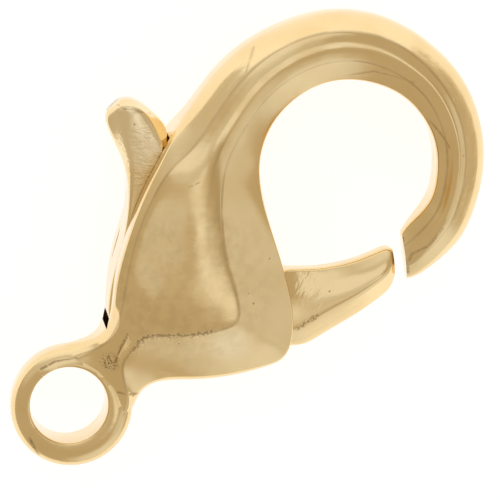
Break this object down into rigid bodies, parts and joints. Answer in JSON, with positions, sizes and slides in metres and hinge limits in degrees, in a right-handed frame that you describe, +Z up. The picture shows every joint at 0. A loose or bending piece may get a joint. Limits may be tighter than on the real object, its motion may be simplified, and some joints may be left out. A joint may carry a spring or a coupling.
{
  "type": "lobster clasp",
  "caption": "Cast lobster clasp with a round eye, a claw hook and a sprung lever that turns on a pin to open the gate.",
  "frame": {"origin": "centre of the eye's hole, in the middle of the clasp's thickness", "axes": "+Y along the clasp from the eye to the hook, +X to the side of the gate, +Z up out of the front face along the eye's hole"},
  "size_m": [0.0137, 0.0234, 0.0048],
  "materials": {
    "body_metal": "cast, tumbled and plated pale gold, with soft casting grain",
    "lever_metal": "cast and plated pale gold, grainier than the body",
    "pin_metal": "drawn wire, end filed flush",
    "spring_metal": "rolled spring strip"
  },
  "bodies": {
    "shell": {"body": "body_metal", "pin": "pin_metal", "spring": "spring_metal"},
    "lever": {"lever": "lever_metal"}
  },
  "joints": [
    {"name": "lever_pivot", "type": "hinge", "parent": "shell", "child": "lever", "pos_m": [-0.0012, 0.00598, 0], "axis": [0, 0, 1], "range_deg": [0, 24], "stiffness_Nm_per_rad": 0.012, "springref_deg": -28.65, "deforming": ["spring"]}
  ]
}
